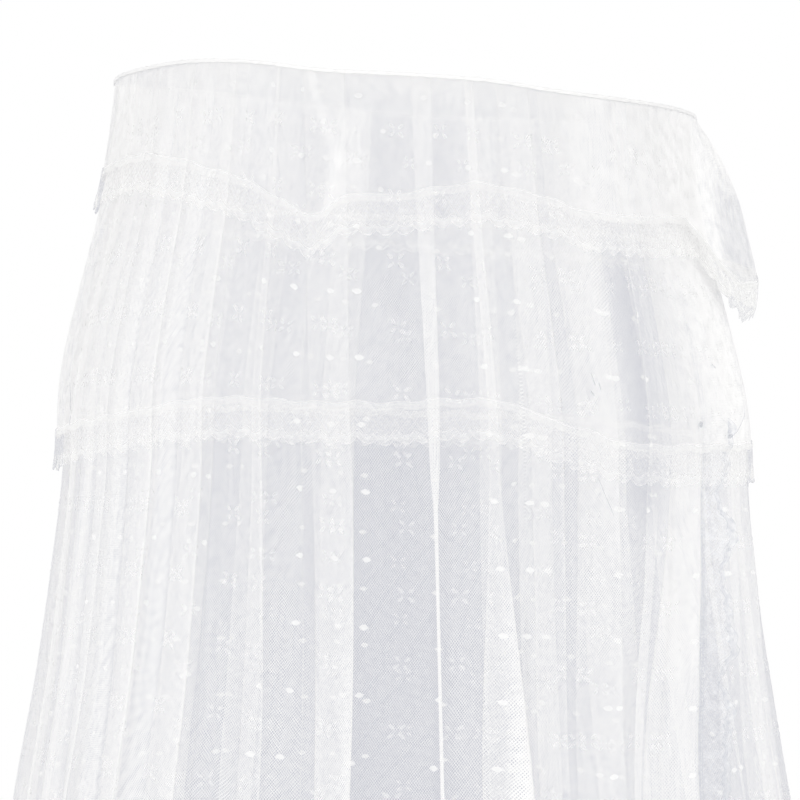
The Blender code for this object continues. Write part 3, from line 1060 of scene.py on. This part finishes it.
# ---- the roof ----
@dataclass
class Roof:
    """The round flat panel that closes the rim, and the seam rolled round it."""

    radius: float = 0.2905
    seam_radius: float = 0.262
    sag: float = 0.012           # of its middle
    lift: float = 0.0013         # over the rim
    columns: int = 360
    rings: int = 22
    hole: float = 0.004          # radius of the innermost ring, which is then filled
    seam_thick: float = 0.0005   # half the seam's thickness, with its unevenness below
    seam_uneven: float = 0.0001
    seam_depth: float = 3.4      # how many times deeper than thick it is

    def surface(self, radius: ndarray, angle: ndarray) -> ndarray:
        """Points of the roof at a radius and an angle."""
        reach = np.minimum(radius / self.seam_radius, 1.0)
        points = RIM.at(radius, angle, 0.0)
        pucker = 0.0006 * reach ** 3 * Ripple(31, 30, 90)(angle, 0.0) * (1 - reach ** 8)
        dish = self.sag * (1 - reach * reach)
        points[..., 2] = RIM.height(angle) * reach + self.lift - dish + pucker
        return points

    def build(self) -> list[Hanging]:
        """Makes the roof with its rolled seam.

        Returns:
            The roof, ready to hand over.
        """
        angle = np.linspace(0, 360, self.columns, endpoint=False)[None, :]
        radius = np.linspace(self.radius, self.hole, self.rings)[:, None]
        points = self.surface(radius, angle)[::-1]
        gather = 1.0 + 0.2 * Ripple(33, 20, 120)(angle, 3 * radius)
        gather = gather + 0.5 * np.exp(-(((radius - self.radius) / 0.012) ** 2))
        near = np.clip(np.cos(np.radians(angle)) * radius / self.radius, 0, 1)
        gather = (gather * (0.55 + 0.5 * near))[::-1]
        flat = points[..., :2] + self.radius
        flat = np.concatenate((flat, flat[:, :1]), 1)
        cloth = grid_piece("roof_net", points, flat, gather, ROOF_NET.material(), closes=True)
        self.close_middle(cloth.data)
        return [Hanging(
            cloth, "roof", "net", Held.STRETCHED, (2 * self.radius, 2 * self.radius),
            ("upper_tier",), area=math.pi * self.radius ** 2, trims=[self.rolled_seam()],
        )]

    def close_middle(self, mesh: Mesh) -> None:
        """Closes the small hole that the grid leaves in the roof's middle."""
        work = bmesh.new()
        work.from_mesh(mesh)
        near = 2 * self.hole
        ring = [e for e in work.edges if e.is_boundary and e.verts[0].co.xy.length < near]
        layer = work.loops.layers.uv[UV_NAME]
        for face in bmesh.ops.contextual_create(work, geom=ring)["faces"]:
            face.smooth = True
            for loop in face.loops:
                loop[layer].uv = [(self.radius + v) / UV_SPAN for v in loop.vert.co.xy]
        work.to_mesh(mesh)
        work.free()

    def rolled_seam(self) -> Object:
        """Makes the narrow roll in which the roof and the hanging cloths are sewn."""
        angle = np.linspace(0, 360, 2 * self.columns, endpoint=False)[None, :]
        turn = np.radians(np.linspace(0, 360, 9))[:, None]
        thick = self.seam_thick + self.seam_uneven * Ripple(35, 60, 240)(angle, 0.0)
        deep = self.seam_depth * thick
        points = RIM.at(self.radius + thick * np.cos(turn), angle, deep * np.sin(turn))
        around = np.linspace(0, 2 * math.pi * self.radius, 2 * self.columns + 1)
        flat = joined(around[None, :], 0.0012 * turn)
        front = np.clip(1.2 * np.cos(np.radians(angle)), -0.4, 1.2)
        gather = 0.5 + front + np.zeros(points.shape[:2])
        return grid_piece("rim_rolled_seam", points, flat, gather, SEAM_NET.material(), closes=True)


# ---- the skirt ----
class Pleat(NamedTuple):
    """A pleat: its angle at four drops, how far it laps, and its shape."""

    rim: float
    waist: float
    knee: float
    foot: float
    lap_rim: float
    lap_waist: float
    lap_knee: float
    depth: float
    roll: float
    lean: float
    lap_hip: float | None = None      # below the waist, where the lap isn't steady


class Crease(NamedTuple):
    """A fine crease between two pleats, over which the net lies double in a thin line."""

    rim: float
    waist: float
    knee: float
    foot: float
    roll_mm: float
    depth_mm: float


def steady(stations: Sequence[float], values: Sequence[float], drop: float) -> float:
    """Reads at a drop what is given at stations down the skirt."""
    return float(Curve(tuple(zip(stations, values)))(drop))


@dataclass
class Skirt:
    """The long figured net in its overlapping pleats, open in front to the right."""

    length: float = 2.300
    # the drops of rim, waist, knee and foot, and of the laps with the hip between
    stations: tuple[float, ...] = (0.0, 0.36, 0.70, 2.300)
    lap_stations: tuple[float, ...] = (0.0, 0.36, 0.41, 0.70, 2.300)
    profile: Curve = Curve((
        (0, 0.271), (0.13, 0.29), (0.205, 0.309), (0.31, 0.3315), (0.385, 0.335), (0.465, 0.3435),
        (0.585, 0.3585), (0.705, 0.3785), (1.3, 0.461), (2.3, 0.609),
    ))
    roll_limits: tuple[float, ...] = (0.0100, 0.0105, 0.0110, 0.0180)
    fold_depths: tuple[float, ...] = (0.0065, 0.0073, 0.0115, 0.0180)
    pleat_reach: float = 2.4         # half of a pleat's span in rolls, plain cloth past it
    room_per_roll: float = 4.8       # how many rolls wide the room to the next pleat is
    swing_per_lap: float = 0.0005    # metres that one unit of lap adds to a fold's swing
    pleats: tuple[Pleat, ...] = tuple(Pleat(*row) for row in (
        (64, 66.7, 58.2, 56, 26, 24, 10, 1, 1, 1),
        (75.5, 77.5, 70, 69, 38, 42, 34, 1.1, 1, 1),
        (87, 88.5, 82.5, 81.5, 36, 42, 34, 1, 1, -1),
        (99, 100, 96, 94, 38, 44, 46, 1.2, 1, 1),
        (112, 113.5, 111, 110, 38, 48, 50, 1.1, 1, 1),
        (126, 126.5, 126.5, 127, 30, 46, 54, 1.3, 1, 1),
        (140, 141, 141.5, 142, 40, 50, 50, 1.1, 1, -1),
        (152.5, 155, 156, 156.5, 34, 44, 48, 1.2, 1, 1),
        (163, 163.8, 164, 164.6, 26, 26, 30, 1, 1, 1),
        (191, 192.6, 191.9, 192.5, 34, 38, 40, 1.4, 1, -1),
        (207, 208.8, 208.6, 209, 26, 22, 28, 0.9, 1, 1),
        (219.5, 221, 222, 222, 26, 28, 30, 1.2, 1, 1),
        (232.5, 234, 235, 235, 34, 48, 54, 1, 1, -1),
        (246, 247.5, 248.5, 248.5, 36, 48, 48, 1.1, 1, 1),
        (260, 261, 262, 262.5, 36, 42, 42, 0.9, 1, 1),
        (273.5, 274, 275, 275.5, 36, 42, 40, 1.1, 1, 1),
        (286, 287, 288, 288, 35, 50, 50, 1, 1, 1),
        (298, 299, 300, 300, 38, 54, 60, 1.2, 1, 1),
        (310, 311, 311.5, 312, 36, 52, 54, 1.1, 1, 1),
        (321.5, 322.8, 322.6, 323, 34, 40, 48, 1.1, 1, 1),
        (334, 335.6, 337.2, 338.4, 6, 14, 30, 0.9, 0.8, 1),
        (343.5, 348.2, 349.6, 351, 44, 40, 36, 1.3, 1, 1),
        (363, 364.6, 365.2, 366, 18, 7, 0, 0.8, 0.45, 1, 0.5),
        (372.5, 374.2, 374.6, 374.8, 2, 2, 42, 1.2, 1, 1),
        (381.5, 383.2, 381.6, 381.6, 26, 25, 18, 1, 1, 1),
        (391.5, 392.6, 389, 388.6, 34, 36, 34, 1.3, 1, 1),
        (407, 404.5, 395, 394.6, 14, 30, 24, 1.1, 1, -1),
        (416, 413, 401.2, 400, 28, 30, 42, 1.6, 1, 1),
    ))
    creases: tuple[Crease, ...] = (
        Crease(327.6, 327.8, 328.0, 328.2, 3.2, 2.2),
        Crease(340.0, 343.0, 344.8, 345.5, 3.0, 2.2),
    )
    pleat_points: int = 25
    gap_points: int = 5
    crease_gap_points: int = 30
    edge_reach: tuple[float, ...] = (0.0, 0.004, 0.020, 0.0)   # cloth past the last pleat
    # how squarely the net still faces out where a fold turns
    tightest: Curve = Curve((
        (55, 0.8), (75, 0.8), (90, 1), (260, 1), (322, 0.9), (328, 0.7), (345, 0.38), (379, 0.38),
        (386, 0.7), (396, 0.7), (408, 0.5), (415, 0.5),
    ))
    # how much closer than plain the net lies between the pleats and on them, by angle
    between: Curve = Curve((
        (55, -0.1), (75, 0), (90, 0.4), (125, 0.7), (140, 0.6), (158, 0.5), (164, 0.3),
        (170, -0.1), (188, -0.1), (196, 0.5), (215, 0.6), (240, 0.8), (290, 1.2), (302, 2.3),
        (320, 1.9), (326, 0.45), (335, 0.38), (345, 0.15), (352, -0.1), (364, -0.1), (368, 0.3),
        (373, 0.4), (377, 0.5), (388, 0.65), (392, 0.8), (415, 1.1),
    ))
    on_pleats: Curve = Curve((
        (55, 0), (90, 0.1), (180, 0), (192, -0.1), (209, -0.15), (225, 0), (300, 0.25), (330, 0),
        (335, -0.2), (345, -0.25), (360, 0), (364, 0.5), (368, 0), (376, 0), (382, -0.2),
        (392, -0.1), (398, 0.3), (415, 0.3),
    ))
    flutter: float = 0.0010
    sway_drop: float = 0.5       # from here down it flutters in full
    slant_limit: float = 1.6     # how far aslant a fold is taken to be seen, as a tangent
    fold_edge: Point = (0.82, 0.45)      # where a fold's look gives way, and over how much
    squeeze: float = 1.7         # by which a strip may narrow or widen on the hung shape
    lace_flare: float = 0.30     # how far the opening's lace turns outward
    lace_top: float = 0.300      # its drop
    figure_pitch: Point = (0.0385, 0.0615)      # from one column or row to the next
    first_figure: Point = (0.012, 0.020)
    hem: float = 0.0135          # depth of the narrow hem, which is turned up double
    hem_stitch_pitch: float = 0.0046
    bunched: tuple[Bunch, ...] = bunches(
        # the dark wedge beside the right fold, in front and behind
        (404, 402.5, 0.1, 0.43, 5.5, -1.3), (129.5, 129.5, 0.1, 0.44, 7, -0.6),
        (390, 391, 0.06, 0.3, 3, -0.3), (396.8, 397.2, 0.08, 0.44, 1.8, 0.7),
        # the folds left and right of the dark middle: lighter edges, thinner cloth between
        (347.6, 347.9, 0.38, 2.3, 0.5, 2), (351, 351.3, 0.38, 2.3, 0.5, 1.6),
        (348.7, 349, 0.38, 2.3, 0.35, 1), (374.2, 374.2, 0.3, 0.5, 1.7, -0.7),
        (163.8, 163.8, 0.25, 2.3, 3.4, -0.5),
        (374.4, 374.8, 0.45, 2.3, 2.6, -0.35), (372.7, 372.8, 0.4, 2.3, 0.8, 4.2),
        (376, 376.4, 0.4, 2.3, 0.5, 1.2),
        (364.9, 366, 0.4, 2.3, 1.6, -0.9), (364.95, 366, 0.42, 2.3, 0.3, 3),
        (363.5, 364.3, -0.05, 0.2, 3, -0.5),
        # the right fold and the right panel's free edge
        (413, 409, 0.34, 0.56, 5, 1), (61.5, 60.5, 0.38, 2.3, 7, -0.7),
        # the sides
        (113, 113, 0.3, 0.56, 6, 1.3), (272, 272, -0.1, 2.4, 7, 0.9), (94, 88, -0.1, 2.4, 9, 0.6),
        (307, 308, 0.36, 2.4, 10, 0.25),
    )

    def rows(self, drop: float) -> tuple[float, list[tuple[float, float, float, float]]]:
        """Reads the pleats at a drop.

        Args:
            drop: metres below the rim.

        Returns:
            The plain radius, and for each pleat its middle, roll and swing in degrees
            and its depth in metres. The fine creases follow the pleats.
        """
        radius = float(self.profile(drop))
        degree = radius * math.radians(1.0)
        middles = [steady(self.stations, p[:4], drop) for p in self.pleats]
        limit = steady(self.stations, self.roll_limits, drop)
        depth = steady(self.stations, self.fold_depths, drop)
        share = min(max((drop - self.stations[1]) / (self.stations[2] - self.stations[1]), 0), 1)
        rows = []
        for i, pleat in enumerate(self.pleats):
            rooms = [abs(middles[j] - middles[i]) for j in (i - 1, i + 1) if 0 <= j < len(middles)]
            roll = min(limit, min(rooms) * degree / self.room_per_roll) * pleat.roll
            hip = pleat.lap_hip
            if hip is None:
                hip = 0.85 * pleat.lap_waist + 0.15 * pleat.lap_knee
            laps = (pleat.lap_rim, pleat.lap_waist, hip, pleat.lap_knee)
            swings = [roll + self.swing_per_lap * lap for lap in laps] + [roll]
            swing = steady(self.lap_stations, swings, drop)
            deep = depth * (1.0 + (pleat.depth - 1.0) * share) * pleat.lean
            rows.append((middles[i], roll / degree, swing / degree, deep))
        for crease in self.creases:
            roll = MM * crease.roll_mm / degree
            middle = steady(self.stations, crease[:4], drop)
            rows.append((middle, roll, 1.25 * roll, MM * crease.depth_mm))
        return radius, rows

    def ring(self, drop: float) -> tuple[ndarray, ndarray]:
        """Lays out the skirt at one drop.

        Args:
            drop: metres below the rim.

        Returns:
            Its points from one free edge to the other, and how close the net lies at each.
        """
        radius, rows = self.rows(drop)
        count = len(self.pleats)
        span = self.pleat_reach
        across = np.linspace(-span, span, self.pleat_points)
        middle, roll = rows[0][:2]
        parts = [middle + roll * across]
        for (start, wide, *_), (end, roll, *_) in zip(rows[:count - 1], rows[1:count]):
            creased = any(start < row[0] < end for row in rows[count:])
            inner = self.crease_gap_points if creased else self.gap_points
            gap = np.linspace(start + span * wide, end - span * roll, inner + 2)
            parts += [gap[1:-1], end + roll * across]
        parameter = np.concatenate(parts)
        reach = steady(self.stations, self.edge_reach, drop)
        tail = np.clip((across - 1.5) / 0.9, 0, 1)
        parameter[-self.pleat_points:] += tail * math.degrees(reach / radius)
        angle, out = parameter.copy(), np.zeros_like(parameter)
        for middle, roll, swing, depth in rows:
            u = (parameter - middle) / roll
            curve = u * np.exp(0.5 * (1 - u * u))
            angle -= swing * curve
            out -= depth * curve
        sway = self.flutter * min(drop / self.sway_drop, 1.0)
        out += sway * Ripple(51, 20, 70)(parameter, drop)
        points = RIM.at(radius + out, angle, drop)
        ahead = np.gradient(points, axis=0)[:, :2]
        ahead /= np.maximum(np.linalg.norm(ahead, axis=1), 1e-9)[:, None]
        round_way = joined(np.cos(np.radians(angle)), np.sin(np.radians(angle)))
        square = np.abs(np.sum(ahead * round_way, axis=1))
        # cloth that stands out shows a little further round than it lies
        middles, rolls, swings, depths = np.array(rows[:count]).T
        limit = self.slant_limit
        aslant = [np.clip(np.tan(np.radians(a)), -limit, limit) for a in (angle, middles)]
        seen = angle + np.degrees(out / radius) * aslant[0]
        lapped = swings - rolls + np.degrees(depths / radius) * aslant[1]
        nearest = np.abs(seen[:, None] - middles) / np.maximum(lapped, 0.35 * rolls)
        start, over = self.fold_edge
        share = np.clip((np.min(nearest, axis=1) - start) / over, 0, 1)
        share = share * share * (3 - 2 * share)
        close = self.on_pleats(parameter) * (1 - share) + self.between(parameter) * share
        close = close + closer(self.bunched, parameter, drop) + rim_closeness(parameter, drop)
        return points, np.maximum(1 + close, 0.15) / np.maximum(square, self.tightest(parameter))

    def drops(self) -> ndarray:
        """The drops of the skirt's rows, close together where it shows most."""
        return np.concatenate((
            np.linspace(0.0, 0.85, 35), np.linspace(0.85, self.length, 24)[1:-1],
            self.length - np.array([self.hem, self.hem - MM, 0.0]),
        ))

    def build(self) -> list[Hanging]:
        """Makes the skirt, its woven figures, its hem and the lace at its opening.

        Returns:
            The skirt and the lace, ready to hand over.
        """
        drops = self.drops()
        rings = [self.ring(float(d)) for d in drops]
        points, close = (np.stack(parts) for parts in zip(*rings))
        # a strip of cloth keeps one width, unless the hung shape squeezes or spreads it much
        steps = np.linalg.norm(np.diff(points, axis=1), axis=2)
        plain = steps[(drops > 0.05) & (drops < 0.80)].mean(axis=0)
        width = np.clip(plain, steps / self.squeeze, steps * self.squeeze)
        width = np.cumsum(width, axis=1)
        total = float(plain.sum())
        width = np.pad(width, ((0, 0), (1, 0))) * (total / width[:, -1:])
        turn, down = np.linspace(0, 360, points.shape[1])[None, :], drops[:, None]
        flat = joined(
            width + 0.0010 * Ripple(57, 30, 90)(turn, down),
            down + 0.0012 * Ripple(58, 20, 60)(turn, down),
        )
        gather = close * (1.0 + 0.06 * Ripple(53, 60, 260, 30, 1.5)(turn, down))
        gather = gather + 0.10 * Ripple(54, 30, 90, 24, 25.0)(turn, down)
        gather[-2:] += 1.6       # the hem is turned up double
        gather = np.clip(gather, 0.3, 6.5)
        cloth = grid_piece("skirt_net", points, flat, gather, PATTERNED_NET.material(), False)
        LOG.info("skirt: %.3f m of cloth, %d columns", total, points.shape[1])
        size, figures = (total, self.length), self.figures(cloth, total)
        return [
            Hanging(cloth, "skirt", "patterned_net", Held.GATHERED, size, ("roof",), trims=figures),
            self.opening_lace(points, drops),
        ]

    def figures(self, cloth: Object, total: float) -> list[Object]:
        """Weaves the diamonds and crosses into the skirt and stitches its hem.

        Args:
            cloth: the skirt.
            total: its flat width.

        Returns:
            The diamonds, the crosses and the stitches of the hem.
        """
        column, row = self.figure_pitch
        left, top = self.first_figure
        size = int(total / column / 2), int(self.length / row), 2 * column, row
        diamond = Shapes()
        half = [(-4.8, 0.0), (-2.0, 2.0), (0.0, 2.7), (2.0, 2.0), (4.8, 0.0)]
        diamond.fan(half + [(x, -y) for x, y in half[3:0:-1]], 0.12)
        cross = Shapes()
        for x, y, turn in ((5.0, 4.0, 38), (-5.0, 4.0, -38), (5.0, -4.0, -38), (-5.0, -4.0, 38)):
            cross.lens((x, y), 7.4, 3.8, turn)
        stitch = Shapes()
        stitch.band([(-1.4, 0.0), (0.0, 0.05), (1.4, 0.0)], 0.5, 0.3)
        count = int(total / self.hem_stitch_pitch)
        hem = Repeat(
            count, 1, total / count, 1.0, 0.5 * self.hem_stitch_pitch,
            self.length - self.hem + 3 * MM, turn_jitter=0.1, size_jitter=0.1,
            stand_off=0.0006, seed=6,
        )
        offset = (left + column, top + 0.5 * row)
        return [
            repeat.lay("skirt_" + name, shape.piece(name), cloth, finish.material())
            for name, shape, finish, repeat in (
                ("diamonds", diamond, FIGURE_YARN, Repeat(*size, left, top, 0.10, 0.08, seed=3)),
                ("crosses", cross, FIGURE_THIN, Repeat(*size, *offset, 0.10, 0.08, seed=4)),
                ("hem_stitches", stitch, SEWING_THREAD, hem),
            )
        ]

    def opening_lace(self, points: ndarray, drops: ndarray) -> Hanging:
        """Makes the lace on the left panel's free edge.

        Args:
            points: the skirt's points.
            drops: the drops of its rows.

        Returns:
            The lace, ready to hand over.
        """
        length = self.length - self.lace_top
        # the opening's lace gets painted shade: its ground, close bands and cords are greyer, for
        # the shade it hangs in
        trim = Trim(
            "opening_lace", length, ("skirt",), seed=71, cord=SHADED_LACE_CORD, net=SHADED_LACE_NET,
            close=SHADED_LACE_BAND,
        )
        # the lace runs down the cloth, so its columns are rows of the grid
        columns = trim.scallops * trim.columns_per_scallop + 1
        along = np.linspace(0, length, columns)[:, None]
        x, y, z = (np.interp(self.lace_top + along, drops, points[:, -1, k]) for k in range(3))
        radius, angle = np.hypot(x, y), np.arctan2(x, -y)
        share = np.linspace(0, 1, 9)[None, :]
        depth = share * LACE.edge(along * LACE.scallop_width * trim.scallops / length)

        def wave(span: float, start: float = 0.0) -> ndarray:
            """A wave along the lace, by its span in metres."""
            return np.sin(along / span * 2 * math.pi + start)

        shift = share * (0.0035 * wave(0.105, 0.4) + 0.0025 * wave(0.043))
        out = 0.0060 * share ** 1.5 * (wave(0.090) + 0.6 * wave(0.055, 1.3))
        far = radius + out + self.lace_flare * depth + 0.0012
        turn = angle + (depth + shift - 0.005 * (1 - share)) / radius
        ground = joined(far * np.sin(turn), -far * np.cos(turn), z)
        gather = 2.4 + 0.4 * Ripple(75, 60, 300, 24, 60.0)(180 * along, 5 * depth)
        gather = gather + 2.4 * np.clip(1.4 - along / 0.16, 0, 1)
        return trim.dress(ground, along, depth, np.clip(gather, 0.3, 4.5), closes=False)


# ---- camera and light ----
@dataclass
class Studio:
    """The camera at the photograph's height and distance, in soft light and a white room."""

    camera_place: tuple[float, float, float] = (-0.005, -4.0, -0.305)
    lens_mm: float = 180.0
    # painted shade: the grey that the room shows through the net
    behind: tuple[float, float, float] = (0.585, 0.596, 0.655)
    around: tuple[float, float, float] = (1.0, 0.996, 0.980)
    around_strength: float = 0.957
    lamp_size: float = 4.2
    aim: tuple[float, float, float] = (0.0, 0.0, -0.5)

    def set_up(self) -> None:
        """Makes the camera and the light."""
        scene = bpy.context.scene
        scene.view_settings.view_transform = "Standard"
        # a line of sight meets a dozen layers of net and more
        scene.cycles.transparent_max_bounces = 64
        data = bpy.data.cameras.new("camera")
        data.lens, data.sensor_width = self.lens_mm, 36.0
        camera = bpy.data.objects.new("camera", data)
        camera.location = self.camera_place
        camera.rotation_euler = (math.radians(90), 0.0, 0.0)
        scene.collection.objects.link(camera)
        scene.camera = camera
        self.light_room()
        self.add_soft_light("key_light", (-3.3, -2.8, 1.4), 30.0)
        self.add_soft_light("fill_light", (3.6, -2.2, 0.2), 22.0)

    def light_room(self) -> None:
        """Makes the plain white room, which shows a painted grey through the net, standing in for
        the shade inside and behind the canopy.
        """
        world = bpy.data.worlds.new("studio")
        bpy.context.scene.world = world
        world.use_nodes = True
        world.node_tree.nodes.clear()
        add = partial(add_node, world.node_tree)
        # painted shade: a line of sight that has passed through net sees grey instead of white
        path = add("ShaderNodeLightPath").outputs
        through = add(MATH, {0: path["Transparent Depth"], 1: 0.5}, operation="GREATER_THAN")
        seen = add(MIX, {0: through, 6: WHITE, 7: (*self.behind, 1.0)}, data_type="RGBA")
        lit = (*(self.around_strength * c for c in self.around), 1.0)
        both = {0: path["Is Camera Ray"], 6: lit, 7: seen.outputs[2]}
        room = {0: add(MIX, both, data_type="RGBA").outputs[2]}
        add("ShaderNodeOutputWorld", {0: add("ShaderNodeBackground", room)})

    def add_soft_light(self, name: str, place: tuple[float, ...], power: float) -> None:
        """Hangs a large soft lamp that looks at the canopy's upper part.

        Args:
            name: the lamp's name.
            place: where it hangs.
            power: in watts.
        """
        data = bpy.data.lights.new(name, "AREA")
        data.size, data.energy = self.lamp_size, power
        lamp = bpy.data.objects.new(name, data)
        lamp.location = place
        way = Vector(self.aim) - Vector(place)
        lamp.rotation_euler = way.to_track_quat("-Z", "Y").to_euler()
        bpy.context.scene.collection.objects.link(lamp)


def main() -> None:
    """Builds the canopy's cloths in order and hands each over."""
    logging.basicConfig(level=logging.INFO, format="%(name)s: %(message)s")
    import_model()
    Studio().set_up()
    makers = (
        Skirt(),
        Tier("lower_tier", LOWER_SHAPE, 11, 26, LOWER_BUNCHES, marks=LOWER_MARKS),
        Tier("upper_tier", UPPER_SHAPE, 21, 18, UPPER_BUNCHES, UPPER_LACE_BUNCHES),
        Roof(),
    )
    for cloth in [cloth for maker in makers for cloth in maker.build()]:
        cloth.hand_over()


if __name__ == "__main__":
    main()
